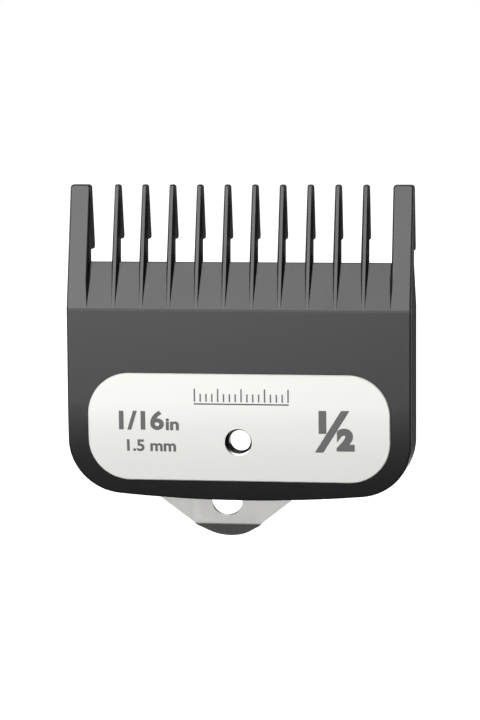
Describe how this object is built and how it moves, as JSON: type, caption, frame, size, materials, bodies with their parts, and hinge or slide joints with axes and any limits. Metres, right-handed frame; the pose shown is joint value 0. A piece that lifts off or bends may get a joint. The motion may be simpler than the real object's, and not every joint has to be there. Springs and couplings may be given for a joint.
{
  "type": "clipper guard comb",
  "caption": "Clip-on guard comb for a hair clipper: black toothed moulding with a metal label plate and a riveted steel spring clip that hooks the blade.",
  "frame": {"origin": "on the axis of the hollow rivet, in the plane where the clip's pad lies on the moulding", "axes": "+X to the right of the label, +Y from the label face to the open back along the rivet's bore, +Z from the clip up to the tooth tips"},
  "size_m": [0.05, 0.0077, 0.0515],
  "materials": {
    "comb_nylon": "fine satin moulded",
    "plate_metal": "satin anodised",
    "adhesive": "translucent film",
    "rivet_metal": "polished nickel plate",
    "clip_steel": "brushed spring steel"
  },
  "bodies": {
    "comb": {"comb_body": "comb_nylon", "label_plate": "plate_metal", "plate_adhesive": "adhesive", "hollow_rivet": "rivet_metal", "clip_base": "clip_steel"},
    "clip_tab": {"clip_tongue": "clip_steel"}
  },
  "joints": [
    {"name": "clip_flex", "type": "hinge", "parent": "comb", "child": "clip_tab", "pos_m": [0, 0.00125, -0.00585], "axis": [-1, 0, 0], "range_deg": [0, 14], "stiffness_Nm_per_rad": 0.1}
  ]
}
